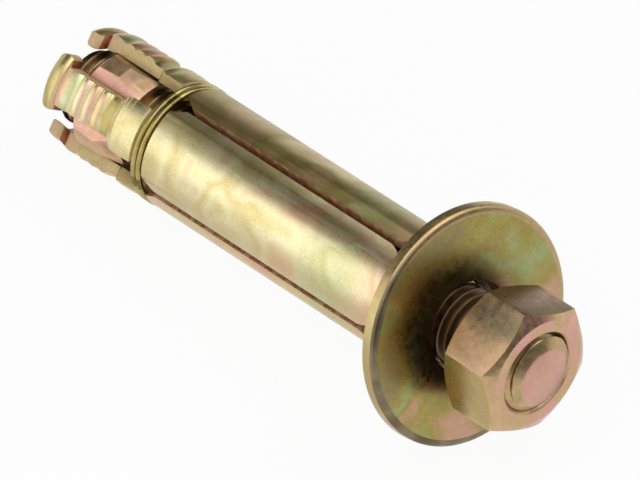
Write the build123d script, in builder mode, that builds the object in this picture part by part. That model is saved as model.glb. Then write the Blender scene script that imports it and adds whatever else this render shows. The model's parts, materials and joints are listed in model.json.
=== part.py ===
from build123d import *
from math import cos, radians, sin, sqrt, tan
import os

# Masonry shield anchor, M16 in a 25 mm shield, lying as it comes to rest.
# Each piece is modelled about the Z axis, with Z = 0 at the outer end of the
# shield, +Z towards the hexagon nut and +X up once the anchor is laid down.

# Thread and stud
thread_radius = 8.0
thread_clearance = 0.05
stud_end_inset = 0.34
stud_end_chamfer = 1.7
stud_end_chamfer_depth = 2.6

# Shield
sheet_thickness = 2.5
shield_length = 99.8
segment_count = 4
slot_half_angle = 3.4
end_round = 1.4
notch_length = 12.5
notch_depth = 2.85
notch_end_length = 3.0

# Fingers, measured from the wire ring towards the tip
ring_to_tip = 27.8
base_length = 8.0
base_half_angle = 26.5
base_bulge = 0.2
base_corner_round = 1.6
base_crest_length = 0.9
base_dip_length = 1.9
base_dip_depth = 0.15
shoulder_drop = 0.35
neck_root_round = 0.8
neck_half_width = 3.9
valley_length = 3.2
valley_depth = 0.75
serration_count = 3
serration_pitch = 2.7
serration_depth = 0.55
head_arm_reach = 1.7
head_length = 4.9
head_corner_share = 0.46
head_inset = 0.4
head_groove_from_tip = 3.8
head_groove_depth = 0.9
head_from_thread = 1.6
head_nose_round = 1.1
hook_slope_length = 1.6
hook_clearance = 0.15
shoulder_slope_length = 3.5
shoulder_slope_width = 1.95

# Wire ring
wire_diameter = 1.25
wire_gap = 0.1
wire_turns = 1.92
wire_start_angle = 195.0
wire_crossing_angle = 30.0
ring_groove_depth = 1.15
ring_groove_slope = 0.4

# Expander nut
expander_length = 12.3
expander_from_ring = 7.7
expander_clearance = 0.136
expander_taper = 0.45
expander_corner_inset = 1.4
expander_nose_wall = 1.35
expander_cone_length = 6.0
expander_back_chamfer = 1.2
expander_cone_round = 3.0

# Ferrule
ferrule_length = 9.0
ferrule_wall = 0.85
ferrule_bore_clearance = 0.3
ferrule_clearance = 0.15
ferrule_groove_depth = 0.7
flange_thickness = 1.2
flange_inset = 0.9
lip_length = 2.4

# Washer
washer_radius = 23.6
washer_thickness = 3.0
washer_bore_clearance = 1.0
washer_lean = 11.0
washer_seat_gap = 0.3
washer_rim_round = 0.9
washer_edge_chamfer = 0.25

# Hexagon nut
nut_wall = 4.0
nut_height = 13.0
nut_face_inset = 1.0
nut_chamfer_angle = 30.0
nut_mouth_chamfer = 0.6
nut_rest_angle = 26.2
nut_from_washer = 6.7
stud_proud_of_nut = 1.5

# Search for the resting tilt
steepest_tilt = 12.0
tilt_steps = 16

# Places that follow from the sizes
ring_z = ring_to_tip - shield_length
shoulder_z = ring_z - base_length
tip_z = -shield_length
thread_bore = thread_radius + thread_clearance
ferrule_bore = thread_radius + ferrule_bore_clearance
ferrule_groove_radius = ferrule_bore + ferrule_wall
ferrule_radius = ferrule_groove_radius + ferrule_groove_depth
bore_radius = ferrule_radius + ferrule_clearance
shield_radius = bore_radius + sheet_thickness
crest_radius = shield_radius + base_bulge
base_half_width = shield_radius * sin(radians(base_half_angle))
segment_half_angle = 180 / segment_count - slot_half_angle
wire_pitch = wire_diameter + wire_gap
ring_groove_radius = shield_radius - ring_groove_depth
ring_groove_half_width = (wire_pitch + wire_diameter) / 2 + ring_groove_slope + wire_gap
body_end_z = ring_z + ring_groove_half_width
head_half_width = neck_half_width + head_arm_reach
expander_nose_z = ring_z - expander_from_ring
expander_back_z = expander_nose_z - expander_length
expander_flat_back = sqrt(bore_radius**2 - neck_half_width**2) - expander_clearance
expander_flat_nose = expander_flat_back - expander_taper
lean = radians(washer_lean)
flange_front_z = ferrule_clearance + flange_thickness
flange_radius = shield_radius - flange_inset
washer_bore_radius = thread_radius + washer_bore_clearance
bore_reach = washer_bore_radius * cos(lean) - washer_thickness / 2 * sin(lean)
washer_rise = bore_reach - thread_bore
washer_seat_z = flange_front_z + washer_seat_gap + (flange_radius - washer_rise) * tan(lean)
washer_middle_z = washer_seat_z + washer_thickness / 2 / cos(lean)
nut_back_z = washer_middle_z + nut_from_washer
stud_front_z = nut_back_z + nut_height + stud_proud_of_nut
stud_back_z = tip_z + stud_end_inset
nut_across_flats = 2 * (thread_radius + nut_wall)


def radial_plane(angle):
    """A plane through the axis, with X pointing outwards at an angle and Y along the axis."""
    turn = radians(angle)
    return Plane((0, 0, 0), x_dir=(cos(turn), sin(turn), 0), z_dir=(sin(turn), -cos(turn), 0))


def facing_plane(angle):
    """A plane through the axis that faces outwards at an angle, with Y along the axis."""
    turn = radians(angle)
    return Plane((0, 0, 0), x_dir=(-sin(turn), cos(turn), 0), z_dir=(cos(turn), sin(turn), 0))


def stud_piece():
    """The threaded rod, drawn smooth at its outer diameter, chamfered at both ends."""
    end_face_radius = thread_radius - stud_end_chamfer_depth
    with BuildPart() as stud:
        with BuildSketch(Plane.XZ):
            with BuildLine():
                Polyline(
                    (0, stud_back_z),
                    (end_face_radius, stud_back_z),
                    (thread_radius, stud_back_z + stud_end_chamfer),
                    (thread_radius, stud_front_z - stud_end_chamfer),
                    (end_face_radius, stud_front_z),
                    (0, stud_front_z),
                    close=True,
                )
            make_face()
        revolve(axis=Axis.Z)
    return stud.part


def expander_nut_piece():
    """The square nut with a turned cone nose that drives the fingers apart."""
    cone_end_z = expander_nose_z - expander_cone_length
    corner_radius = shield_radius - expander_corner_inset
    with BuildPart() as expander:
        with BuildSketch(Plane.XY.offset(expander_back_z)):
            Rectangle(2 * expander_flat_back, 2 * expander_flat_back, rotation=45)
        with BuildSketch(Plane.XY.offset(expander_nose_z)):
            Rectangle(2 * expander_flat_nose, 2 * expander_flat_nose, rotation=45)
        loft()
        with BuildSketch(Plane.XZ):
            with BuildLine():
                Polyline(
                    (thread_bore, expander_nose_z),
                    (thread_bore + expander_nose_wall, expander_nose_z),
                    (corner_radius, cone_end_z),
                    (corner_radius, expander_back_z + expander_back_chamfer),
                    (corner_radius - expander_back_chamfer, expander_back_z),
                    (thread_bore, expander_back_z),
                    close=True,
                )
            face = make_face()
            fillet(face.vertices().filter_by_position(Axis.Z, cone_end_z, cone_end_z), expander_cone_round)
        revolve(axis=Axis.Z, mode=Mode.INTERSECT)
    return expander.part


def ferrule_piece():
    """The grooved collar that the outer ends of the segments hook into."""
    with BuildPart() as ferrule:
        with BuildSketch(Plane.XZ):
            with BuildLine():
                Polyline(
                    (ferrule_bore, -ferrule_length),
                    (ferrule_radius, -ferrule_length),
                    (ferrule_radius, -lip_length - ferrule_clearance),
                    (ferrule_groove_radius, -lip_length - ferrule_clearance),
                    (ferrule_groove_radius, ferrule_clearance),
                    (flange_radius, ferrule_clearance),
                    (flange_radius, flange_front_z),
                    (ferrule_bore, flange_front_z),
                    close=True,
                )
            make_face()
        revolve(axis=Axis.Z)
    return ferrule.part


def body_section():
    """Half section of a segment from its hooked lip to the finger's shoulder."""
    lip_radius = bore_radius - ferrule_groove_depth
    groove_top_z = ring_z + ring_groove_half_width
    groove_low_z = ring_z - ring_groove_half_width
    dip_start_z = shoulder_z + base_crest_length
    dip_end_z = dip_start_z + base_dip_length
    with BuildSketch(radial_plane(-segment_half_angle)) as section:
        with BuildLine():
            RadiusArc((shield_radius - end_round, 0), (shield_radius, -end_round), end_round)
            Polyline(
                (shield_radius, -end_round),
                (shield_radius, groove_top_z),
                (ring_groove_radius, groove_top_z - ring_groove_slope),
                (ring_groove_radius, groove_low_z + ring_groove_slope),
                (shield_radius, groove_low_z),
                (crest_radius, dip_end_z),
            )
            ThreePointArc(
                (crest_radius, dip_end_z),
                (crest_radius - base_dip_depth, (dip_start_z + dip_end_z) / 2),
                (crest_radius, dip_start_z),
            )
            ThreePointArc(
                (crest_radius, dip_start_z),
                (crest_radius - shoulder_drop / 4, (dip_start_z + shoulder_z) / 2),
                (crest_radius - shoulder_drop, shoulder_z),
            )
            Polyline(
                (crest_radius - shoulder_drop, shoulder_z),
                (bore_radius, shoulder_z),
                (bore_radius, -lip_length),
                (lip_radius, -lip_length),
                (lip_radius, 0),
                (shield_radius - end_round, 0),
            )
        make_face()
    return section.sketch


def finger_section():
    """Half section of a finger: valley, rounded serrations and the curled head."""
    trough_radius = crest_radius - serration_depth
    serrations_z = shoulder_z - valley_length
    neck_end_z = serrations_z - serration_count * serration_pitch
    head_groove_z = tip_z + head_groove_from_tip
    head_groove_radius = crest_radius - head_groove_depth
    hook_z = expander_back_z - hook_slope_length
    lip_radius = thread_radius + head_from_thread
    with BuildSketch(radial_plane(-segment_half_angle)) as section:
        with BuildLine():
            ThreePointArc(
                (crest_radius - shoulder_drop, shoulder_z),
                (crest_radius - valley_depth, shoulder_z - valley_length / 2),
                (trough_radius, serrations_z),
            )
            for number in range(serration_count):
                start_z = serrations_z - number * serration_pitch
                ThreePointArc(
                    (trough_radius, start_z),
                    (crest_radius, start_z - serration_pitch / 2),
                    (trough_radius, start_z - serration_pitch),
                )
            ThreePointArc(
                (trough_radius, neck_end_z),
                (crest_radius, (neck_end_z + head_groove_z) / 2),
                (head_groove_radius, head_groove_z),
            )
            curl_end = (lip_radius + head_nose_round, tip_z)
            ThreePointArc(
                (head_groove_radius, head_groove_z),
                (shield_radius - head_inset, (head_groove_z + tip_z) / 2),
                curl_end,
            )
            RadiusArc(curl_end, (lip_radius, tip_z + head_nose_round), head_nose_round)
            Polyline(
                (lip_radius, tip_z + head_nose_round),
                (lip_radius, hook_z),
                (bore_radius, expander_back_z - hook_clearance),
                (bore_radius, shoulder_z),
                (crest_radius - shoulder_drop, shoulder_z),
            )
        make_face()
    return section.sketch


def finger_piece():
    """The narrow serrated neck and its T-shaped head, below the shoulder."""
    neck_length = shoulder_z - tip_z
    root_half_width = neck_half_width + neck_root_round
    root_z = shoulder_z - neck_root_round
    with BuildPart() as finger:
        add(finger_section())
        revolve(axis=Axis.Z, revolution_arc=2 * segment_half_angle)
        with BuildSketch(facing_plane(0)):
            with Locations((0, tip_z + neck_length / 2)):
                Rectangle(2 * neck_half_width, neck_length)
            with Locations((0, tip_z + head_length / 2)):
                RectangleRounded(2 * head_half_width, head_length, head_corner_share * head_length)
            with BuildLine():
                RadiusArc((neck_half_width, root_z), (root_half_width, shoulder_z), neck_root_round)
                Polyline((root_half_width, shoulder_z), (0, shoulder_z), (0, root_z), (neck_half_width, root_z))
            make_face()
            mirror(about=Plane.YZ)
        extrude(amount=2 * shield_radius, mode=Mode.INTERSECT)
    return finger.part


def segment_piece():
    """One pressed quarter of the shield, centred on the X axis."""
    base_side = segment_half_angle - base_half_angle
    slot_angle = 180 / segment_count
    slot_half_width = bore_radius * sin(radians(slot_half_angle))
    finger = finger_piece()
    with BuildPart() as segment:
        add(body_section())
        revolve(axis=Axis.Z, revolution_arc=2 * segment_half_angle)
        for start_angle in (-segment_half_angle, base_half_angle):
            with BuildSketch(radial_plane(start_angle)):
                with Locations(((bore_radius + shield_radius) / 2, (body_end_z + shoulder_z) / 2)):
                    Rectangle(2 * bore_radius, body_end_z - shoulder_z)
            revolve(axis=Axis.Z, revolution_arc=base_side, mode=Mode.SUBTRACT)
        with BuildSketch(facing_plane(0)):
            with BuildLine():
                RadiusArc(
                    (base_half_width, shoulder_z + base_corner_round),
                    (base_half_width - base_corner_round, shoulder_z),
                    base_corner_round,
                )
                Polyline(
                    (base_half_width - base_corner_round, shoulder_z),
                    (2 * base_half_width, shoulder_z),
                    (2 * base_half_width, shoulder_z + base_corner_round),
                    (base_half_width, shoulder_z + base_corner_round),
                )
            make_face()
            mirror(about=Plane.YZ)
        extrude(amount=2 * shield_radius, mode=Mode.SUBTRACT)
        for side in (-1, 1):
            with BuildSketch(facing_plane(side * slot_angle)):
                with BuildLine():
                    start = (slot_half_width, -notch_length)
                    mouth = (slot_half_width + notch_depth, -notch_end_length)
                    Spline(start, mouth, tangents=((0, 1), (0, 1)))
                    Polyline(mouth, (mouth[0], end_round), (0, end_round), (0, -notch_length), start)
                make_face()
                with BuildLine():
                    Polyline(
                        (slot_half_width, body_end_z + shoulder_slope_length),
                        (slot_half_width + shoulder_slope_width, body_end_z),
                        (0, body_end_z),
                        (0, body_end_z + shoulder_slope_length),
                        close=True,
                    )
                make_face()
                mirror(about=Plane.YZ)
            extrude(amount=2 * shield_radius, mode=Mode.SUBTRACT)
        add(finger)
    return segment.part


def retaining_ring_piece():
    """The sprung wire ring: two flat turns joined by a short crossing, cut square at both ends."""
    ring_radius = ring_groove_radius + wire_gap + wire_diameter / 2
    flat_sweep = (360 * wire_turns - wire_crossing_angle) / 2
    low_z = ring_z - wire_pitch / 2
    high_z = ring_z + wire_pitch / 2
    with BuildPart() as ring:
        with BuildLine() as path:
            low_turn = CenterArc((0, 0, low_z), ring_radius, wire_start_angle, flat_sweep)
            high_turn = CenterArc(
                (0, 0, high_z), ring_radius, wire_start_angle + flat_sweep + wire_crossing_angle, flat_sweep
            )
            middle_angle = radians(wire_start_angle + flat_sweep + wire_crossing_angle / 2)
            middle = (ring_radius * cos(middle_angle), ring_radius * sin(middle_angle), ring_z)
            Spline(low_turn @ 1, middle, high_turn @ 0, tangents=(low_turn % 1, high_turn % 0))
        with BuildSketch(Plane(low_turn @ 0, z_dir=low_turn % 0)):
            Circle(wire_diameter / 2)
        sweep(path=path.line)
    return ring.part


def washer_piece():
    """The large washer, leaning back on the ferrule with the stud low in its hole."""
    half = washer_thickness / 2
    leaning = Plane(
        (washer_rise, 0, washer_middle_z), x_dir=(cos(lean), 0, -sin(lean)), z_dir=(sin(lean), 0, cos(lean))
    )
    with BuildPart() as washer:
        with BuildSketch(Plane.XZ):
            with BuildLine():
                RadiusArc(
                    (washer_radius - washer_rim_round, half), (washer_radius, half - washer_rim_round), washer_rim_round
                )
                Polyline(
                    (washer_radius, half - washer_rim_round),
                    (washer_radius, washer_edge_chamfer - half),
                    (washer_radius - washer_edge_chamfer, -half),
                    (washer_bore_radius + washer_edge_chamfer, -half),
                    (washer_bore_radius, washer_edge_chamfer - half),
                    (washer_bore_radius, half - washer_edge_chamfer),
                    (washer_bore_radius + washer_edge_chamfer, half),
                    (washer_radius - washer_rim_round, half),
                )
            make_face()
        revolve(axis=Axis.Z)
    return washer.part.moved(leaning.location)


def hex_nut_piece():
    """The hexagon nut, chamfered on both sides, with countersunk mouths."""
    corner_radius = nut_across_flats / 2 / cos(radians(30))
    face_radius = nut_across_flats / 2 - nut_face_inset
    chamfer_drop = (corner_radius - face_radius) * tan(radians(nut_chamfer_angle))
    mouth_radius = thread_bore + nut_mouth_chamfer
    with BuildPart() as nut:
        with BuildSketch(Plane.XY.offset(nut_back_z)):
            RegularPolygon(nut_across_flats / 2, 6, major_radius=False, rotation=nut_rest_angle - 30)
        extrude(amount=nut_height)
        with BuildSketch(Plane.XZ):
            with BuildLine():
                Polyline(
                    (mouth_radius, nut_back_z),
                    (face_radius, nut_back_z),
                    (corner_radius, nut_back_z + chamfer_drop),
                    (corner_radius, nut_back_z + nut_height - chamfer_drop),
                    (face_radius, nut_back_z + nut_height),
                    (mouth_radius, nut_back_z + nut_height),
                    (thread_bore, nut_back_z + nut_height - nut_mouth_chamfer),
                    (thread_bore, nut_back_z + nut_mouth_chamfer),
                    close=True,
                )
            make_face()
        revolve(axis=Axis.Z, mode=Mode.INTERSECT)
    return nut.part


def lying_location(tilt):
    """The turn that lays the anchor down, its nut end raised by the tilt in degrees."""
    rise = radians(tilt)
    return Plane((0, 0, 0), x_dir=(-sin(rise), 0, cos(rise)), z_dir=(cos(rise), 0, sin(rise))).location


def resting_tilt(washer, finger):
    """The tilt at which the washer's rim and the lower fingers touch one floor."""
    low_tilt, high_tilt = 0.0, steepest_tilt
    for _ in range(tilt_steps):
        tilt = (low_tilt + high_tilt) / 2
        lying = lying_location(tilt)
        washer_low = washer.moved(lying).bounding_box().min.Z
        finger_low = finger.moved(lying).bounding_box().min.Z
        if washer_low < finger_low:
            low_tilt = tilt
        else:
            high_tilt = tilt
    return tilt


def anchor_pieces():
    """Every piece of the anchor by name, still standing about the Z axis."""
    pieces = {
        "stud": stud_piece(),
        "expander_nut": expander_nut_piece(),
        "ferrule": ferrule_piece(),
        "retaining_ring": retaining_ring_piece(),
        "washer": washer_piece(),
        "hex_nut": hex_nut_piece(),
    }
    segment = segment_piece()
    for number in range(segment_count):
        angle = (number + 0.5) * 360 / segment_count
        pieces[f"shield_segment_{number + 1}"] = segment.rotate(Axis.Z, angle)
    return pieces


def main():
    os.makedirs("parts", exist_ok=True)
    pieces = anchor_pieces()
    lowest_segment = pieces[f"shield_segment_{segment_count // 2}"]
    tilt = resting_tilt(pieces["washer"], lowest_segment)
    laid = {name: piece.moved(lying_location(tilt)) for name, piece in pieces.items()}
    bounds = Compound(list(laid.values())).bounding_box()
    floor_centre = Location((-bounds.center().X, -bounds.center().Y, -bounds.min.Z))
    for name, piece in laid.items():
        piece = piece.moved(floor_centre)
        piece.label = name
        export_step(piece, f"parts/{name}.step")
    print("tilt in degrees", round(tilt, 4))
    print("outer end of the shield on the axis", floor_centre.position)
    print("size", bounds.size)


if __name__ == "__main__":
    main()
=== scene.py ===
import json
import math
from collections import namedtuple

import bmesh
import bpy
from mathutils import Matrix, Vector


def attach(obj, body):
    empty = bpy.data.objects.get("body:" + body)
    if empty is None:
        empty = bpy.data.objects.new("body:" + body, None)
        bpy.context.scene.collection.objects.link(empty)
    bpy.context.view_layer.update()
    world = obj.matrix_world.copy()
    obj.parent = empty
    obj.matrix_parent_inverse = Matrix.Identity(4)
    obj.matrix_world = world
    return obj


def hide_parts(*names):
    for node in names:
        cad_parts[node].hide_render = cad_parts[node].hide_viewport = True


bl_info = {
    "name": "Masonry anchor bolt",
    "version": (1, 0, 0),
    "blender": (4, 5, 0),
    "location": "3D View > Sidebar > Anchor",
    "description": "Dresses the packed masonry anchor with detailed pieces, plated finishes and a studio",
    "category": "Add Mesh",
}

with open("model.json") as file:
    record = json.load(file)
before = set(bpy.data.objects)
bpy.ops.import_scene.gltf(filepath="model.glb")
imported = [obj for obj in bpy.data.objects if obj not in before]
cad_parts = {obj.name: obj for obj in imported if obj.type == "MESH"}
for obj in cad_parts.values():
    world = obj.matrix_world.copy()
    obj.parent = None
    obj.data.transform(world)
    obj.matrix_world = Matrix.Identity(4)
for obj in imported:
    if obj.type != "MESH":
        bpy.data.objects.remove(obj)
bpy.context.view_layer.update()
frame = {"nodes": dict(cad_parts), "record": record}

MM = 0.001
SEGMENT_COUNT = 4
HEXAGON_SIDES = 6

# Points closer than this are one point: on a cut's plane, between turns of thread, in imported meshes
PLANE_DISTANCE = 0.0001 * MM
TURN_DISTANCE = 0.01 * MM
MESH_DISTANCE = 0.002 * MM

# Packed faces that meet at less than this are one face, in degrees
FLAT_ANGLE = 0.5

# The finishes of a shield segment, by material slot; INSIDE and LEDGE take painted shade
SKIN, CUT, INSIDE, LEDGE, RIM = range(5)

# Depth and place of points along one turn of the thread, as shares of its depth and pitch
THREAD_ROWS = (
    (0.00, 0.00), (0.06, 0.00), (0.13, 0.10), (0.22, 0.42), (0.33, 0.85), (0.40, 1.00), (0.50, 1.00),
    (0.60, 1.00), (0.67, 0.85), (0.78, 0.42), (0.87, 0.10), (0.94, 0.00), (1.00, 0.00),
)

# A stretch of a finish with soft ends: where it runs, in millimetres Along the axis, degrees of
# Turn or millimetres of Radius, how soft its ends are, and the tone it adds and how much of it
Zone = namedtuple("Zone", "way low high soft tone amount")


def placement():
    """The matrix that lays a piece, drawn about Z with the nut end up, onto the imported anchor."""
    turn = next(joint for joint in frame["record"]["behaviour"]["joints"] if joint["name"] == "nut_turn")
    along = -Vector(turn["axis"]).normalized()
    up = Vector((-along.z, 0, along.x))
    return Matrix.Translation(turn["pos_m"]) @ Matrix((up, along.cross(up), along)).transposed().to_4x4()


def from_screen(red, green, blue):
    """A colour as picked on a screen, 0 to 255, as the linear values that shaders use."""
    return tuple(
        value / 255 / 12.92 if value < 11 else ((value / 255 + 0.055) / 1.055) ** 2.4
        for value in (red, green, blue)
    )


def length(name, description, millimetres):
    """A size in the sidebar, given in millimetres."""
    return bpy.props.FloatProperty(
        name=name, description=description, default=millimetres * MM, unit="LENGTH"
    )


def angle(name, description, degrees):
    """An angle in the sidebar, given in degrees."""
    return bpy.props.FloatProperty(
        name=name, description=description, default=math.radians(degrees), subtype="ANGLE"
    )


def colour(name, description, *values):
    """A colour in the sidebar, given as on a screen."""
    return bpy.props.FloatVectorProperty(
        name=name, description=description, default=from_screen(*values), subtype="COLOR", size=3,
        min=0, max=1,
    )


class AnchorSizes(bpy.types.PropertyGroup):
    thread_radius: length("Thread radius", "Outer radius of the stud's thread", 8.0)
    thread_pitch: length("Thread pitch", "Distance from one thread to the next", 2.0)
    thread_depth: length("Thread depth", "Depth of the stud's thread", 1.15)
    thread_clearance: length("Thread clearance", "Gap between the stud and the nut's bore", 0.05)
    stud_back: length("Stud back end", "Place of the stud's inner end along the axis", -99.46)
    stud_front: length("Stud front end", "Place of the stud's outer end along the axis", 26.54)
    stud_face_radius: length("Stud face radius", "Radius of the flat face at each end of the stud", 5.4)
    stud_chamfer: length("Stud chamfer", "Length of the cone at each end of the stud", 1.7)
    nut_across_flats: length("Nut across flats", "Width of the hexagon nut", 24.0)
    nut_height: length("Nut height", "Height of the hexagon nut", 13.0)
    nut_back: length("Nut back", "Place of the nut's inner face along the axis", 12.04)
    nut_face_radius: length("Nut face radius", "Radius of the nut's round face inside its chamfer", 11.0)
    nut_mouth_radius: length("Nut mouth radius", "Radius of the countersunk mouth of its thread", 8.65)
    nut_chamfer: angle("Nut chamfer", "Slope of the chamfer at the nut's corners", 30.0)
    nut_turn: angle("Nut turn", "Turn of the nut's first flat about the axis", 26.2)
    nut_edge_round: length("Nut edge round", "Rounding of the nut's edges", 0.3)
    washer_radius: length("Washer radius", "Outer radius of the washer", 23.6)
    washer_bore: length("Washer bore", "Radius of the washer's hole", 9.0)
    washer_thickness: length("Washer thickness", "Thickness of the washer", 3.0)
    washer_middle: length("Washer middle", "Place of the washer's middle along the axis", 5.34)
    washer_rise: length("Washer rise", "Height of the washer's middle above the axis", 0.498)
    washer_lean: angle("Washer lean", "Lean of the washer towards the shield", 11.0)
    washer_roll: length("Washer rim round", "Width of the rounding of the washer's front edge", 1.5)
    washer_bore_round: length("Washer bore round", "Rounding of the hole's front edge", 0.4)
    washer_back_bevel: length("Washer back bevel", "Bevel of the washer's back edge", 0.25)
    washer_bore_bevel: length("Washer bore bevel", "Bevel of the hole's back edge", 0.2)
    shield_edge_round: length("Shield edge round", "Rounding of the segments' edges", 0.15)
    inner_edge_round: length("Inner edge round", "Rounding of the cone nut and the ferrule", 0.25)
    wire_diameter: length("Wire diameter", "Thickness of the ring's wire", 1.25)
    wire_pitch: length("Wire pitch", "Distance from one turn of the ring to the next", 1.35)
    wire_ring_radius: length("Ring radius", "Radius of the wire ring along its middle", 12.075)
    wire_ring_place: length("Ring place", "Place of the wire ring along the axis", -72.0)


class AnchorColours(bpy.types.PropertyGroup):
    gold: colour("Gold", "Main tone of the yellow plating", 208, 192, 134)
    cream: colour("Cream", "Palest tone of the yellow plating", 226, 217, 172)
    tan: colour("Tan", "Warm brown-yellow tone of the plating", 196, 168, 122)
    olive: colour("Olive", "Dark yellow-green tone of the plating", 164, 148, 82)
    haze: colour("Haze", "Grey-brown tone of the plating", 142, 130, 102)
    teal: colour("Teal", "Blue-green bloom of the plating", 158, 180, 132)
    rose: colour("Rose", "Pink bloom of the plating", 214, 162, 150)
    peach: colour("Peach", "Orange-pink bloom of the plating", 216, 176, 140)
    # Brick is also part of the painted shade on the ledges behind the T-heads
    brick: colour("Brick", "Red-brown tone of thin plating in cuts", 168, 104, 70)
    # Umber gives dark patches of the washer's and ferrule's plating, and painted shade on the shield's
    # insides and ledges, the washer round the hole and on its front edge, the nut's top flat and the stud
    umber: colour("Umber", "Dark brown tone of soiled plating", 88, 68, 54)


def group_sockets(group, inputs, outputs):
    """Gives a node group its inputs (name, kind, value) and outputs (name, kind), with their nodes."""
    for name, kind, value in inputs:
        socket = group.interface.new_socket(name=name, in_out="INPUT", socket_type=kind)
        if value is not None:
            socket.default_value = value
    for name, kind in outputs:
        group.interface.new_socket(name=name, in_out="OUTPUT", socket_type=kind)
    return group.nodes.new("NodeGroupInput"), group.nodes.new("NodeGroupOutput")


def add_node(tree, kind, settings=None, **values):
    """A new node with its settings, and with its sockets set or, for a socket, linked."""
    made = tree.nodes.new(kind)
    for name, value in (settings or {}).items():
        setattr(made, name, value)
    for name, value in values.items():
        key = int(name[1:]) if name[0] == "_" else name.replace("_", " ")
        if isinstance(value, bpy.types.NodeSocket):
            tree.links.new(value, made.inputs[key])
        else:
            made.inputs[key].default_value = value
    return made


def add_math(tree, operation, *values):
    """The result of a sum on numbers or sockets."""
    given = {f"_{number}": value for number, value in enumerate(values)}
    return add_node(tree, "ShaderNodeMath", {"operation": operation}, **given).outputs[0]


def add_group(tree, name, **values):
    """A node group by its name, set and linked like any other node."""
    return add_node(tree, "ShaderNodeGroup", {"node_tree": bpy.data.node_groups[name]}, **values)


def mixed(tree, amount, first, second, blend="MIX"):
    """The colour between two others by an amount from 0 to 1."""
    made = tree.nodes.new("ShaderNodeMix")
    made.data_type = "RGBA"
    made.blend_type = blend
    for key, value in ((0, amount), (6, first), (7, second)):
        if isinstance(value, bpy.types.NodeSocket):
            tree.links.new(value, made.inputs[key])
        elif key == 0:
            made.inputs[key].default_value = value
        else:
            made.inputs[key].default_value = (*value, 1)
    return made.outputs[2]


def place_group():
    """Turns Object coordinates into places on the anchor, in millimetres and degrees."""
    group = bpy.data.node_groups.new("anchor_place", "ShaderNodeTree")
    given, result = group_sockets(
        group,
        [("Vector", "NodeSocketVector", None)],
        [
            ("Along", "NodeSocketFloat"),
            ("Turn", "NodeSocketFloat"),
            ("Radius", "NodeSocketFloat"),
            ("Vector", "NodeSocketVector"),
        ],
    )
    back = placement().inverted()
    on_anchor = add_node(
        group, "ShaderNodeMapping", Vector=given.outputs["Vector"], Location=back.translation / MM,
        Rotation=back.to_euler(), Scale=(1 / MM, 1 / MM, 1 / MM),
    )
    parts = add_node(group, "ShaderNodeSeparateXYZ", Vector=on_anchor.outputs[0])
    turn = add_math(group, "ARCTAN2", parts.outputs["Y"], parts.outputs["X"])
    flat = add_node(group, "ShaderNodeCombineXYZ", X=parts.outputs["X"], Y=parts.outputs["Y"])
    radius = add_node(group, "ShaderNodeVectorMath", {"operation": "LENGTH"}, _0=flat.outputs[0])
    group.links.new(parts.outputs["Z"], result.inputs["Along"])
    group.links.new(add_math(group, "DEGREES", turn), result.inputs["Turn"])
    group.links.new(radius.outputs["Value"], result.inputs["Radius"])
    group.links.new(on_anchor.outputs[0], result.inputs["Vector"])


def plating_group():
    """A slow phase that runs through the plating's tones, and the fine grain over it."""
    group = bpy.data.node_groups.new("plating_phase", "ShaderNodeTree")
    given, result = group_sockets(
        group,
        [
            ("Vector", "NodeSocketVector", None),
            ("Patch Size", "NodeSocketFloat", 8.0),
            ("Seed", "NodeSocketFloat", 0.0),
        ],
        [("Phase", "NodeSocketFloat"), ("Grain", "NodeSocketFloat")],
    )
    slow = add_node(
        group, "ShaderNodeTexNoise", {"noise_dimensions": "4D"}, Vector=given.outputs["Vector"],
        W=given.outputs["Seed"], Scale=add_math(group, "DIVIDE", 1.0, given.outputs["Patch Size"]),
        Detail=2.5, Roughness=0.45, Distortion=0.4,
    )
    grain = add_node(
        group, "ShaderNodeTexNoise", Vector=given.outputs["Vector"], Scale=2.6, Detail=3.0
    )
    nudge = add_node(
        group, "ShaderNodeMapRange", Value=grain.outputs[0], To_Min=-0.025, To_Max=0.025
    )
    phase = add_math(group, "ADD", slow.outputs[0], nudge.outputs[0])
    spread = add_node(group, "ShaderNodeMapRange", Value=phase, From_Min=0.26, From_Max=0.74)
    group.links.new(spread.outputs[0], result.inputs["Phase"])
    group.links.new(grain.outputs[0], result.inputs["Grain"])


def scratch_group():
    """Fine drawn lines along the anchor and a soft unevenness, for roughness and bump."""
    group = bpy.data.node_groups.new("drawn_grain", "ShaderNodeTree")
    given, result = group_sockets(
        group,
        [
            ("Vector", "NodeSocketVector", None),
            ("Lines", "NodeSocketFloat", 0.5),
            ("Low Roughness", "NodeSocketFloat", 0.25),
            ("High Roughness", "NodeSocketFloat", 0.4),
        ],
        [("Roughness", "NodeSocketFloat"), ("Height", "NodeSocketFloat")],
    )
    stretched = add_node(
        group, "ShaderNodeMapping", Vector=given.outputs["Vector"], Scale=(1.5, 1.5, 0.06)
    )
    lines = add_node(
        group, "ShaderNodeTexNoise", Vector=stretched.outputs[0], Scale=1.0, Detail=3.0
    )
    pits = add_node(
        group, "ShaderNodeTexNoise", Vector=given.outputs["Vector"], Scale=0.8, Detail=1.5
    )
    both = add_node(
        group, "ShaderNodeMix", {"data_type": "FLOAT"},
        _0=given.outputs["Lines"], _2=pits.outputs[0], _3=lines.outputs[0],
    )
    rough = add_node(
        group, "ShaderNodeMapRange", Value=both.outputs[0], From_Min=0.3, From_Max=0.7,
        To_Min=given.outputs["Low Roughness"], To_Max=given.outputs["High Roughness"],
    )
    group.links.new(rough.outputs[0], result.inputs["Roughness"])
    group.links.new(both.outputs[0], result.inputs["Height"])


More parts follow.
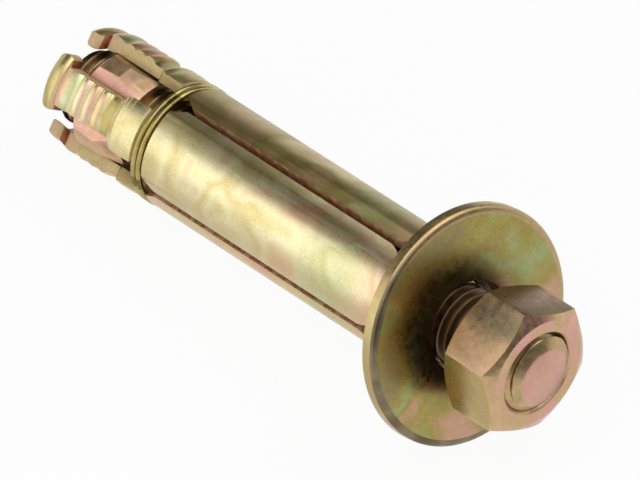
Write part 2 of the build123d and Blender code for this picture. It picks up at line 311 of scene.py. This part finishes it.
def stretch_mask(tree, value, low, high, soft):
    """One between low and high, and zero outside, with soft ends."""
    smooth = {"interpolation_type": "SMOOTHSTEP"}
    rise = add_node(
        tree, "ShaderNodeMapRange", smooth, Value=value, From_Min=low - soft, From_Max=low + soft
    )
    fall = add_node(
        tree, "ShaderNodeMapRange", smooth, Value=value, From_Min=high - soft, From_Max=high + soft,
        To_Min=1.0, To_Max=0.0,
    )
    return add_math(tree, "MULTIPLY", rise.outputs[0], fall.outputs[0])


def tone_ramp(tree, phase, tones):
    """The colour that a phase from 0 to 1 takes among evenly spread tones."""
    ramp = add_node(tree, "ShaderNodeValToRGB", Fac=phase)
    stops = ramp.color_ramp.elements
    last = len(tones) - 1
    for number in range(1, last):
        stops.new(number / last)
    for stop, tone in zip(stops, tones):
        stop.color = (*tone, 1)
    return ramp.outputs["Color"]


def with_zones(tree, shade, place, phase, zones):
    """Lays zones of other tones over a shade, and lets the phase make their ends wander."""
    wobble = add_node(tree, "ShaderNodeMapRange", Value=phase, To_Min=-0.5, To_Max=0.5)
    for zone in zones:
        moved = add_math(
            tree, "MULTIPLY_ADD", wobble.outputs[0], zone.soft * 0.8, place.outputs[zone.way]
        )
        mask = stretch_mask(tree, moved, zone.low, zone.high, zone.soft)
        shade = mixed(tree, add_math(tree, "MULTIPLY", mask, zone.amount), shade, zone.tone)
    return shade


def plated(
    name, tones, patch=8.0, seed=0.0, roughness=(0.25, 0.4), lines=0.0, bump=0.15, metallic=1.0, zones=()
):
    """A plated steel finish: tones in patches of a size in millimetres, with zones over them."""
    material = bpy.data.materials.new(name)
    material.use_nodes = True
    tree = material.node_tree
    shader = tree.nodes["Principled BSDF"]
    shader.inputs["Metallic"].default_value = metallic
    coordinates = add_node(tree, "ShaderNodeTexCoord")
    place = add_group(tree, "anchor_place", Vector=coordinates.outputs["Object"])
    phase = add_group(
        tree, "plating_phase", Vector=place.outputs["Vector"], Patch_Size=patch, Seed=seed
    )
    shade = tone_ramp(tree, phase.outputs["Phase"], tones)
    shade = with_zones(tree, shade, place, phase.outputs["Phase"], zones)
    level = add_node(
        tree, "ShaderNodeMapRange", Value=phase.outputs["Grain"], From_Min=0.3, From_Max=0.7,
        To_Min=0.90, To_Max=1.06,
    )
    shade = mixed(tree, 1.0, shade, level.outputs[0], "MULTIPLY")
    grain = add_group(
        tree, "drawn_grain", Vector=place.outputs["Vector"], Lines=lines, Low_Roughness=roughness[0],
        High_Roughness=roughness[1],
    )
    relief = add_node(
        tree, "ShaderNodeBump", Strength=bump, Distance=0.05 * MM, Height=grain.outputs["Height"]
    )
    tree.links.new(shade, shader.inputs["Base Color"])
    tree.links.new(grain.outputs["Roughness"], shader.inputs["Roughness"])
    tree.links.new(relief.outputs[0], shader.inputs["Normal"])


def arc(centre, reach, first, last, steps):
    """Points of an upright arc about a (radius, height) centre, from one angle to another in degrees."""
    turns = [math.radians(first + (last - first) * step / steps) for step in range(steps + 1)]
    return [
        (centre[0] + reach[0] * math.cos(turn), centre[1] + reach[1] * math.sin(turn)) for turn in turns
    ]


def revolved(profile, steps):
    """A closed ring of (radius, height) points turned once about Z."""
    shape = bmesh.new()
    points = [shape.verts.new((radius, 0, height)) for radius, height in profile]
    edges = [shape.edges.new(pair) for pair in zip(points, points[1:] + points[:1])]
    bmesh.ops.spin(
        shape, geom=points + edges, cent=(0, 0, 0), axis=(0, 0, 1), angle=math.tau, steps=steps,
        use_merge=True,
    )
    return shape


def cut_away(shape, point, normal):
    """Cuts off what lies beyond a plane and closes the cut with one face."""
    everything = shape.verts[:] + shape.edges[:] + shape.faces[:]
    cut = bmesh.ops.bisect_plane(
        shape, geom=everything, dist=PLANE_DISTANCE, plane_co=point, plane_no=normal, clear_outer=True
    )["geom_cut"]
    rim = [item for item in cut if isinstance(item, bmesh.types.BMEdge)]
    bmesh.ops.contextual_create(shape, geom=rim)


def soften(shape, width, sharpest=28.0, segments=3):
    """Rounds every edge sharper than an angle in degrees, and gives the faces that this makes."""
    bmesh.ops.recalc_face_normals(shape, faces=shape.faces)
    limit = math.radians(sharpest)
    sharp = [edge for edge in shape.edges if edge.is_manifold and edge.calc_face_angle(0) > limit]
    return bmesh.ops.bevel(
        shape, geom=sharp, offset=width, offset_type="OFFSET", affect="EDGES", segments=segments,
        profile=0.5, material=-1, clamp_overlap=True,
    )["faces"]


def node_shape(node):
    """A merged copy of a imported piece, stood up about Z."""
    shape = bmesh.new()
    shape.from_mesh(frame["nodes"][node].data)
    bmesh.ops.transform(shape, matrix=placement().inverted(), verts=shape.verts)
    bmesh.ops.remove_doubles(shape, verts=shape.verts, dist=MESH_DISTANCE)
    bmesh.ops.dissolve_limit(
        shape, angle_limit=math.radians(FLAT_ANGLE), verts=shape.verts, edges=shape.edges,
        delimit={"NORMAL"},
    )
    bmesh.ops.recalc_face_normals(shape, faces=shape.faces)
    return shape


def new_mesh(name, shape, *materials):
    """Turns a bmesh into a mesh with its materials."""
    mesh = bpy.data.meshes.new(name)
    shape.to_mesh(mesh)
    shape.free()
    for material in materials:
        mesh.materials.append(bpy.data.materials[material])
    return mesh


def finished_piece(name, shape, materials, body, node, smooth_angle=35.0):
    """Lays a shape drawn about Z on the anchor, as a piece that replaces a node and rides on a body."""
    bmesh.ops.transform(shape, matrix=placement(), verts=shape.verts)
    bmesh.ops.recalc_face_normals(shape, faces=shape.faces)
    limit = math.radians(smooth_angle)
    for edge in shape.edges:
        edge.smooth = not edge.is_manifold or edge.calc_face_angle(0) < limit
    for face in shape.faces:
        face.smooth = True
    piece = bpy.data.objects.new(name, new_mesh(name, shape, *materials))
    bpy.context.scene.collection.objects.link(piece)
    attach(piece, body)
    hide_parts(node)


def threaded_rod(radius, depth, pitch, low, high, steps=44):
    """A rod with a right-hand thread, cut square at both ends."""
    shape = bmesh.new()
    spare = 1.5 * pitch
    start = low - spare
    chain = [
        shape.verts.new((radius - share * depth, 0, start + part * pitch)) for part, share in THREAD_ROWS
    ]
    edges = [shape.edges.new(pair) for pair in zip(chain, chain[1:])]
    bmesh.ops.spin(
        shape, geom=chain + edges, cent=(0, 0, 0), axis=(0, 0, 1), dvec=(0, 0, pitch / steps),
        angle=math.tau, steps=steps,
    )
    turns = 1
    while turns * pitch < high - low + 2 * spare:
        everything = shape.verts[:] + shape.edges[:] + shape.faces[:]
        copied = bmesh.ops.duplicate(shape, geom=everything)["geom"]
        copied_verts = [item for item in copied if isinstance(item, bmesh.types.BMVert)]
        bmesh.ops.translate(shape, vec=(0, 0, turns * pitch), verts=copied_verts)
        turns *= 2
    bmesh.ops.remove_doubles(shape, verts=shape.verts, dist=TURN_DISTANCE)
    cut_away(shape, (0, 0, low), (0, 0, -1))
    cut_away(shape, (0, 0, high), (0, 0, 1))
    return shape


def trim_to_cone(shape, end, way, face_radius, outer_radius, reach):
    """Draws in every point that stands outside the cone at a rod's end."""
    for vert in shape.verts:
        inward = (end - vert.co.z) * way
        limit = face_radius + (outer_radius - face_radius) * max(inward, 0) / reach
        radius = math.hypot(vert.co.x, vert.co.y)
        if inward < reach and radius > limit:
            vert.co.x *= limit / radius
            vert.co.y *= limit / radius


class ANCHOR_OT_stage(bpy.types.Operator):
    """Set up the floor, the soft light, the dark cards and the camera"""

    bl_idname = "anchor.stage"
    bl_label = "Stage"

    # What lamps and cards face, above the floor under the middle of the anchor
    CENTRE = Vector((0, 0, 0.02))
    FLOOR_SIZE = 6.0
    FLOOR_DROP = 0.02 * MM
    FLOOR_WHITE_SHARE = 0.95
    SKY_STRENGTH = 0.55

    # Name, azimuth and elevation in degrees, distance and side in metres, power in watts
    LAMPS = (
        ("front_softbox", -131, 16, 0.8, 0.75, 1.1),
        ("right_softbox", 60, 55, 1.0, 0.6, 1.8),
        ("top_softbox", -75, 78, 1.0, 0.6, 1.8),
    )

    # Name, azimuth and elevation in degrees, distance, width and height in metres
    CARDS = (
        ("flag_back", 132, 17, 0.19, 0.34, 0.12),
        ("flag_left", 176, 46, 0.45, 0.44, 0.30),
        ("flag_front", 12, 16, 0.75, 1.30, 0.50),
    )

    # The camera's axes, and the point of the anchor's axis that shows at one pixel of the picture
    CAMERA_RIGHT = Vector((0.69338, 0.71577, -0.08303))
    CAMERA_DOWN = Vector((0.51091, -0.56962, -0.64382))
    CAMERA_DISTANCE = 2.5
    PIXELS_PER_METRE = 5390.0
    PICTURE = (640, 480)
    AIM_ALONG = 6.87 * MM
    AIM_PIXEL = (470.3, 330.1)
    SENSOR_WIDTH = 36.0

    def execute(self, context):
        self.floor(context)
        self.sky(context)
        self.lamps(context)
        self.cards(context)
        self.camera(context)
        context.scene.view_settings.view_transform = "Standard"
        return {"FINISHED"}

    def floor(self, context):
        """A floor that looks white to the camera and keeps some of the anchor's shadow."""
        material = bpy.data.materials.new("floor_white")
        material.use_nodes = True
        tree = material.node_tree
        tree.nodes.clear()
        output = add_node(tree, "ShaderNodeOutputMaterial")
        matt = add_node(tree, "ShaderNodeBsdfDiffuse", Color=(0.86, 0.86, 0.86, 1))
        glow = add_node(tree, "ShaderNodeEmission", Color=(1, 1, 1, 1), Strength=1.0)
        share = add_math(tree, "MULTIPLY", self.seen_directly(tree), self.FLOOR_WHITE_SHARE)
        blend = add_node(
            tree, "ShaderNodeMixShader", _0=share, _1=matt.outputs[0], _2=glow.outputs[0]
        )
        tree.links.new(blend.outputs[0], output.inputs[0])
        shape = bmesh.new()
        bmesh.ops.create_grid(shape, x_segments=1, y_segments=1, size=self.FLOOR_SIZE)
        floor = bpy.data.objects.new("floor", new_mesh("floor", shape, material.name))
        floor.location.z = -self.FLOOR_DROP
        context.scene.collection.objects.link(floor)

    def sky(self, context):
        """A soft white world that shows as plain white."""
        world = bpy.data.worlds.new("studio")
        context.scene.world = world
        world.use_nodes = True
        tree = world.node_tree
        tree.nodes.clear()
        output = add_node(tree, "ShaderNodeOutputWorld")
        soft = add_node(
            tree, "ShaderNodeBackground", Color=(1, 1, 1, 1), Strength=self.SKY_STRENGTH
        )
        white = add_node(tree, "ShaderNodeBackground", Color=(1, 1, 1, 1), Strength=1.0)
        blend = add_node(
            tree, "ShaderNodeMixShader", _0=self.seen_directly(tree), _1=soft.outputs[0],
            _2=white.outputs[0],
        )
        tree.links.new(blend.outputs[0], output.inputs[0])

    def seen_directly(self, tree):
        """One for rays from the camera and for those that metal or glass sends on."""
        path = add_node(tree, "ShaderNodeLightPath")
        metal = add_math(
            tree, "MAXIMUM", path.outputs["Is Camera Ray"], path.outputs["Is Glossy Ray"]
        )
        return add_math(tree, "MAXIMUM", metal, path.outputs["Is Transmission Ray"])

    def aim(self, thing, azimuth, elevation, distance):
        """Stands a lamp or a card off the anchor, facing it."""
        turn, rise = math.radians(azimuth), math.radians(elevation)
        way = Vector((math.cos(rise) * math.cos(turn), math.cos(rise) * math.sin(turn), math.sin(rise)))
        thing.location = self.CENTRE + way * distance
        thing.rotation_euler = way.to_track_quat("Z", "Y").to_euler()

    def lamps(self, context):
        """Square soft lamps round the anchor."""
        for name, azimuth, elevation, distance, side, power in self.LAMPS:
            lamp = bpy.data.lights.new(name, "AREA")
            lamp.shape = "SQUARE"
            lamp.size = side
            lamp.energy = power
            lamp_object = bpy.data.objects.new(name, lamp)
            self.aim(lamp_object, azimuth, elevation, distance)
            context.scene.collection.objects.link(lamp_object)

    def cards(self, context):
        """Dark cards, unseen themselves, that the rounded and sloping surfaces mirror."""
        material = bpy.data.materials.new("flag_black")
        material.use_nodes = True
        shader = material.node_tree.nodes["Principled BSDF"]
        shader.inputs["Base Color"].default_value = (0.19, 0.175, 0.15, 1)
        shader.inputs["Roughness"].default_value = 0.9
        for name, azimuth, elevation, distance, width, height in self.CARDS:
            shape = bmesh.new()
            bmesh.ops.create_grid(shape, x_segments=1, y_segments=1, size=0.5)
            bmesh.ops.scale(shape, vec=(width, height, 1), verts=shape.verts)
            card = bpy.data.objects.new(name, new_mesh(name, shape, material.name))
            card.visible_camera = False
            card.visible_shadow = False
            self.aim(card, azimuth, elevation, distance)
            context.scene.collection.objects.link(card)

    def camera(self, context):
        """The camera that shows the anchor as the photograph does."""
        right, down = self.CAMERA_RIGHT, self.CAMERA_DOWN
        ahead = right.cross(down)
        aim = placement() @ Vector((0, 0, self.AIM_ALONG))
        across, below = (
            (pixel - size / 2) / self.PIXELS_PER_METRE for pixel, size in zip(self.AIM_PIXEL, self.PICTURE)
        )
        camera = bpy.data.cameras.new("camera")
        camera.sensor_width = self.SENSOR_WIDTH
        camera.lens = self.SENSOR_WIDTH * self.CAMERA_DISTANCE * self.PIXELS_PER_METRE / self.PICTURE[0]
        camera.clip_end = 20.0
        camera_object = bpy.data.objects.new("camera", camera)
        middle = aim - right * across - down * below
        turned = Matrix((right, -down, -ahead)).transposed().to_4x4()
        camera_object.matrix_world = Matrix.Translation(middle - ahead * self.CAMERA_DISTANCE) @ turned
        context.scene.collection.objects.link(camera_object)
        context.scene.camera = camera_object


class ANCHOR_OT_finishes(bpy.types.Operator):
    """Make the plated finishes that the pieces use"""

    bl_idname = "anchor.finishes"
    bl_label = "Finishes"

    def execute(self, context):
        place_group()
        plating_group()
        scratch_group()
        tones = context.scene.anchor_colours
        self.shield_skins(tones)
        self.shield_edges(tones)
        self.washer(tones)
        self.nut(tones)
        self.inner_pieces(tones)
        return {"FINISHED"}

    def shield_skins(self, tones):
        """The segments' outsides, with the bands of colour on their fingers and near the washer, and
        painted light: shade on the first segment's lower side, a floor reflection on the second, shade on
        the fourth and in each finger's valley.
        """
        bands = (
            Zone("Along", -14, 2, 6, tones.rose, 0.35),
            Zone("Along", -26, -14, 4, tones.teal, 0.30),
            Zone("Along", -101, -97.2, 0.3, tones.olive, 0.7),
            Zone("Along", -97.2, -95.4, 0.3, tones.tan, 0.7),
            Zone("Along", -95.4, -93.4, 0.4, tones.rose, 0.6),
            Zone("Along", -93.4, -91.9, 0.4, tones.teal, 0.6),
            Zone("Along", -91.9, -90.2, 0.3, tones.cream, 0.8),
            Zone("Along", -89.8, -88.8, 0.3, tones.rose, 0.6),
            Zone("Along", -87.2, -86.0, 0.3, tones.rose, 0.7),
            Zone("Along", -84.8, -83.6, 0.3, tones.peach, 0.7),
            # Partly painted shade: this olive band over the valley before the teeth also stands in for the
            # valley's shade
            Zone("Along", -83.0, -80.6, 0.4, tones.olive, 0.8),
            Zone("Along", -79.8, -74.0, 0.5, tones.gold, 0.5),
        )
        pale = (tones.tan, tones.gold, tones.cream, tones.gold, tones.cream, tones.peach, tones.gold)
        # Painted shade: the tan zone darkens the lower side of the first segment
        plated(
            "shield_skin_1", pale, patch=16.0, seed=0.0, roughness=(0.26, 0.36), lines=0.6,
            zones=(Zone("Turn", 68, 92, 8, tones.tan, 0.5), *bands),
        )
        # Partly painted reflection: the second, lower segment's warm tan and peach stand in for the floor
        # it mirrors
        plated(
            "shield_skin_2", (tones.tan, tones.peach, tones.gold, tones.peach, tones.tan),
            patch=12.0, seed=4.0, roughness=(0.28, 0.38), lines=0.6, zones=bands,
        )
        plated(
            "shield_skin_3", pale, patch=16.0, seed=9.0, roughness=(0.26, 0.36), lines=0.6, zones=bands
        )
        # Partly painted shade: the fourth, upper segment's darker olive stands in for the dark it mirrors,
        # over the plating's own olive
        plated(
            "shield_skin_4", (tones.olive, tones.tan, tones.olive, tones.gold, tones.tan),
            patch=14.0, seed=2.0, roughness=(0.3, 0.42), lines=0.4, zones=bands,
        )

    def shield_edges(self, tones):
        """The segments' cut walls and rims, and the painted shade on their insides and on the ledges
        behind the T-heads.
        """
        plated(
            "shield_cut", (tones.brick, tones.tan, tones.brick, tones.peach, tones.tan),
            patch=3.0, metallic=0.2, roughness=(0.4, 0.55),
            zones=(
                Zone("Along", -101, -73, 0.6, tones.gold, 0.75),
                Zone("Along", -101, -92, 0.6, tones.peach, 0.5),
            ),
        )
        plated("shield_rim", (tones.gold, tones.cream, tones.peach), patch=4.0, roughness=(0.22, 0.32))
        # Painted shade: the segments' insides are darkened as the shade inside the shield
        plated(
            "shield_inside_painted_shade", (tones.umber, tones.haze, tones.umber),
            patch=5.0, roughness=(0.4, 0.55), metallic=0.7,
        )
        # Painted shade: the ledges behind the T-heads are darkened as the shadow they lie in
        plated("shield_ledge_painted_shade", (tones.umber, tones.brick, tones.umber), patch=5.0, roughness=(0.4, 0.55))

    def washer(self, tones):
        """The washer's faces, with painted shade round the hole by the nut and a painted reflection on the
        paler outer rim, and its front edge painted dark.
        """
        plated(
            "washer_plating",
            (
                tones.umber, tones.olive, tones.haze, tones.olive, tones.teal, tones.olive, tones.rose,
                tones.olive,
            ),
            patch=18.0, seed=1.0, roughness=(0.26, 0.38), bump=0.06,
            zones=(
                Zone("Radius", 12, 26, 1, tones.olive, 0.35),
                # Painted shade round the hole, by the nut
                Zone("Radius", 0, 14, 4, tones.umber, 0.65),
                # Painted reflection: the outer rim is paler tan
                Zone("Radius", 23.3, 26, 0.3, tones.tan, 0.6),
            ),
        )
        # Painted shade on the front edge, dark, with painted light on a paler tan side
        plated(
            "washer_edge_painted_light", (tones.umber, tones.haze, tones.umber),
            patch=12.0, roughness=(0.3, 0.4), bump=0.06,
            zones=(Zone("Turn", -160, 20, 14, tones.tan, 0.8),),
        )

    def nut(self, tones):
        """The nut's flats, each in its own tone with painted shade on the top one, and its pink ends."""
        plated(
            "nut_plating", (tones.haze, tones.tan, tones.peach, tones.tan, tones.rose),
            patch=9.0, seed=3.0, roughness=(0.26, 0.38), bump=0.06,
            zones=(
                # Painted shade: the top flat is darkened, as the dark it mirrors
                Zone("Turn", -66, -3, 3, tones.umber, 0.55),
                Zone("Turn", -3, 22, 8, tones.haze, 0.8),
                Zone("Turn", 30, 56, 6, tones.peach, 0.5),
                Zone("Turn", 57, 115, 4, tones.olive, 0.6),
                Zone("Along", 24.9, 27, 0.1, tones.peach, 0.8),
            ),
        )
        plated(
            "nut_face", (tones.peach, tones.rose, tones.tan, tones.peach, tones.rose),
            patch=9.0, seed=6.0, roughness=(0.26, 0.38), bump=0.06,
        )

    def inner_pieces(self, tones):
        """The stud, with painted shade between the washer and the nut and at its inner end, the cone nut,
        the ferrule and the wire.
        """
        plated(
            "stud_plating", (tones.haze, tones.tan, tones.haze), patch=8.0, roughness=(0.3, 0.42),
            zones=(
                # Painted shade at the stud's inner end, among the finger heads
                Zone("Along", -101, -96, 0.5, tones.umber, 0.6),
                # Painted shade on the stud between the washer and the nut
                Zone("Along", 2, 13, 1.0, tones.umber, 0.85),
                Zone("Along", 26.35, 28, 0.08, tones.rose, 0.8),
            ),
        )
        plated(
            "expander_plating", (tones.haze, tones.peach, tones.haze),
            patch=6.0, seed=5.0, roughness=(0.38, 0.5), zones=(Zone("Turn", 10, 80, 3, tones.rose, 0.7),),
        )
        plated("ferrule_plating", (tones.olive, tones.umber, tones.haze), patch=5.0, roughness=(0.35, 0.5))
        plated("wire_plating", (tones.haze, tones.olive, tones.gold), patch=6.0, roughness=(0.2, 0.3))


class ANCHOR_OT_stud(bpy.types.Operator):
    """Cut the threaded stud"""

    bl_idname = "anchor.stud"
    bl_label = "Stud"

    def execute(self, context):
        sizes = context.scene.anchor_sizes
        shape = threaded_rod(
            sizes.thread_radius, sizes.thread_depth, sizes.thread_pitch, sizes.stud_back, sizes.stud_front
        )
        for end, way in ((sizes.stud_back, -1), (sizes.stud_front, 1)):
            trim_to_cone(shape, end, way, sizes.stud_face_radius, sizes.thread_radius, sizes.stud_chamfer)
        finished_piece("stud_thread", shape, ["stud_plating"], "bolt", "stud")
        return {"FINISHED"}


class ANCHOR_OT_hex_nut(bpy.types.Operator):
    """Turn and cut the hexagon nut"""

    bl_idname = "anchor.hex_nut"
    bl_label = "Hexagon nut"

    STEPS_ROUND = 192

    # Faces that look along the axis by more than this, from 0 to 1, take the ends' finish
    END_FACING = 0.35

    def execute(self, context):
        sizes = context.scene.anchor_sizes
        half = sizes.nut_across_flats / 2
        corner = half / math.cos(math.pi / HEXAGON_SIDES)
        drop = (corner - sizes.nut_face_radius) * math.tan(sizes.nut_chamfer)
        bore = sizes.thread_radius + sizes.thread_clearance
        mouth = sizes.nut_mouth_radius
        low, high = sizes.nut_back, sizes.nut_back + sizes.nut_height
        outside = [
            (mouth, low),
            (sizes.nut_face_radius, low),
            (corner, low + drop),
            (corner, high - drop),
            (sizes.nut_face_radius, high),
            (mouth, high),
        ]
        inside = [(bore, high - (mouth - bore)), (bore, low + (mouth - bore))]
        shape = revolved(outside + inside, self.STEPS_ROUND)
        for number in range(HEXAGON_SIDES):
            turn = sizes.nut_turn + math.tau * number / HEXAGON_SIDES
            way = Vector((math.cos(turn), math.sin(turn), 0))
            cut_away(shape, way * half, way)
        soften(shape, sizes.nut_edge_round, sharpest=20.0)
        for face in shape.faces:
            if abs(face.normal.z) > self.END_FACING:
                face.material_index = 1
        finished_piece("nut_body", shape, ["nut_plating", "nut_face"], "nut", "hex_nut")
        return {"FINISHED"}


class ANCHOR_OT_washer(bpy.types.Operator):
    """Turn the washer, rounded at its punched front edge"""

    bl_idname = "anchor.washer"
    bl_label = "Washer"

    STEPS_ROUND = 180
    ROLL_DEPTH_SHARE = 0.6

    # Faces of the front edge that look along the axis by more than this, from 0 to 1, take the edge's
    # painted shade
    EDGE_FACING = 0.2

    def execute(self, context):
        sizes = context.scene.anchor_sizes
        half = sizes.washer_thickness / 2
        outer, bore, roll = sizes.washer_radius, sizes.washer_bore, sizes.washer_roll
        roll_depth = self.ROLL_DEPTH_SHARE * roll
        back = [
            (bore + sizes.washer_bore_bevel, -half),
            (outer - sizes.washer_back_bevel, -half),
            (outer, -half + sizes.washer_back_bevel),
        ]
        mouth = sizes.washer_bore_round
        rim = arc((outer - roll, half - roll_depth), (roll, roll_depth), 0, 90, 8)
        hole = arc((bore + mouth, half - mouth), (mouth, mouth), 90, 180, 4)
        shape = revolved(back + rim + hole + [(bore, -half + sizes.washer_bore_bevel)], self.STEPS_ROUND)
        for face in shape.faces:
            middle = face.calc_center_median()
            on_rim = math.hypot(middle.x, middle.y) > outer - roll and middle.z > 0
            if on_rim and abs(face.normal.z) > self.EDGE_FACING:
                face.material_index = 1
        lean = Matrix.Rotation(sizes.washer_lean, 4, "Y")
        place = Matrix.Translation((sizes.washer_rise, 0, sizes.washer_middle)) @ lean
        bmesh.ops.transform(shape, matrix=place, verts=shape.verts)
        finished_piece(
            "washer_disc", shape, ["washer_plating", "washer_edge_painted_light"], "washer", "washer"
        )
        return {"FINISHED"}


class ANCHOR_OT_shield(bpy.types.Operator):
    """Round the edges of the four pressed segments and tell skin, cuts and rims apart"""

    bl_idname = "anchor.shield"
    bl_label = "Shield segments"

    # How far a face looks outwards, or along the axis, to count as facing that way, from 0 to 1
    FACING = 0.6

    # Short of this place, a face that looks towards the nut end isn't a ledge behind a T-head
    LEDGE_PLACE = -90 * MM

    def execute(self, context):
        for number in range(1, SEGMENT_COUNT + 1):
            node = f"shield_segment_{number}"
            shape = node_shape(node)
            for face in shape.faces:
                face.material_index = self.kind(face)
            edge_round = context.scene.anchor_sizes.shield_edge_round
            for face in soften(shape, edge_round, sharpest=34.0, segments=2):
                face.material_index = RIM
            finished_piece(
                f"segment_skin_{number}", shape,
                [f"shield_skin_{number}", "shield_cut", "shield_inside_painted_shade", "shield_ledge_painted_shade", "shield_rim"],
                f"segment_{number}", node,
            )
        return {"FINISHED"}

    def kind(self, face):
        """Which finish a face takes: skin, cut through the sheet, inside, or ledge behind the head;
        insides and ledges take painted shade.
        """
        middle = face.calc_center_median()
        outward = Vector((middle.x, middle.y, 0)).normalized()
        facing = face.normal.dot(outward)
        if abs(facing) > self.FACING:
            return SKIN if facing > 0 else INSIDE
        return LEDGE if face.normal.z > self.FACING and middle.z < self.LEDGE_PLACE else CUT


class ANCHOR_OT_retaining_ring(bpy.types.Operator):
    """Coil the wire ring, as one length on each segment so that it opens with them"""

    bl_idname = "anchor.retaining_ring"
    bl_label = "Retaining ring"

    # In degrees round the axis: where the wire starts, how long it takes to cross from one turn to
    # the next, how far it runs, how far a length reaches either side of its segment's middle, and
    # the steps along it
    START = 195.0
    CROSSING = 30.0
    SWEEP = 720.0 - CROSSING
    REACH = 51.0
    STEP = 3.0
    SIDES = 20

    def execute(self, context):
        sizes = context.scene.anchor_sizes
        for number in range(1, SEGMENT_COUNT + 1):
            middle = (number - 0.5) * 360 / SEGMENT_COUNT - self.START
            shape = bmesh.new()
            for lap in range(-1, 4):
                low = max(middle + 360 * lap - self.REACH, 0)
                high = min(middle + 360 * lap + self.REACH, self.SWEEP)
                if high > low:
                    self.wire(shape, sizes, low, high)
            finished_piece(
                f"ring_wire_{number}", shape, ["wire_plating"], f"segment_{number}",
                "retaining_ring",
            )
        return {"FINISHED"}

    def rise(self, travelled, pitch):
        """Height of the wire's middle after so many degrees: two flat turns and a short crossing."""
        share = min(max((travelled - (360 - self.CROSSING)) / self.CROSSING, 0), 1)
        return pitch * (share * share * (3 - 2 * share) - 0.5)

    def wire(self, shape, sizes, low, high):
        """A closed length of round wire from one angle to another."""
        count = math.ceil((high - low) / self.STEP)
        laps = []
        for step in range(count + 1):
            travelled = low + (high - low) * step / count
            height = sizes.wire_ring_place + self.rise(travelled, sizes.wire_pitch)
            place = (
                Matrix.Rotation(math.radians(self.START + travelled), 4, "Z")
                @ Matrix.Translation((sizes.wire_ring_radius, 0, height))
                @ Matrix.Rotation(math.radians(90), 4, "X")
            )
            circle = bmesh.ops.create_circle(
                shape, cap_ends=False, segments=self.SIDES, radius=sizes.wire_diameter / 2, matrix=place
            )
            laps.append(circle["verts"])
        for first, second in zip(laps, laps[1:]):
            for corner in range(self.SIDES):
                after = (corner + 1) % self.SIDES
                shape.faces.new((first[corner], first[after], second[after], second[corner]))
        shape.faces.new(laps[0])
        shape.faces.new(reversed(laps[-1]))


class ANCHOR_OT_inner_pieces(bpy.types.Operator):
    """Round the edges of the square cone nut and of the ferrule"""

    bl_idname = "anchor.inner_pieces"
    bl_label = "Expander and ferrule"

    def execute(self, context):
        for node, name, material, body, slot in (
            ("expander_nut", "expander_body", "expander_plating", "bolt", "expander"),
            ("ferrule", "ferrule_body", "ferrule_plating", "shield_core", "ferrule"),
        ):
            shape = node_shape(node)
            soften(shape, context.scene.anchor_sizes.inner_edge_round, sharpest=15.0)
            finished_piece(name, shape, [material], body, node)
        return {"FINISHED"}


STEPS = (
    ANCHOR_OT_stage,
    ANCHOR_OT_finishes,
    ANCHOR_OT_stud,
    ANCHOR_OT_inner_pieces,
    ANCHOR_OT_shield,
    ANCHOR_OT_retaining_ring,
    ANCHOR_OT_washer,
    ANCHOR_OT_hex_nut,
)


class ANCHOR_PT_panel(bpy.types.Panel):
    """Sidebar panel with the anchor's pieces, sizes and colours"""

    bl_label = "Masonry anchor bolt"
    bl_space_type = "VIEW_3D"
    bl_region_type = "UI"
    bl_category = "Anchor"

    def draw(self, context):
        for step in STEPS:
            self.layout.operator(step.bl_idname)
        for group in (context.scene.anchor_sizes, context.scene.anchor_colours):
            for name in group.__annotations__:
                self.layout.prop(group, name)


CLASSES = (AnchorSizes, AnchorColours, *STEPS, ANCHOR_PT_panel)


def register():
    for kind in CLASSES:
        bpy.utils.register_class(kind)
    bpy.types.Scene.anchor_sizes = bpy.props.PointerProperty(type=AnchorSizes)
    bpy.types.Scene.anchor_colours = bpy.props.PointerProperty(type=AnchorColours)


def unregister():
    del bpy.types.Scene.anchor_colours
    del bpy.types.Scene.anchor_sizes
    for kind in reversed(CLASSES):
        bpy.utils.unregister_class(kind)


def main():
    register()
    for step in STEPS:
        family, name = step.bl_idname.split(".")
        getattr(getattr(bpy.ops, family), name)()


if __name__ == "__main__":
    main()
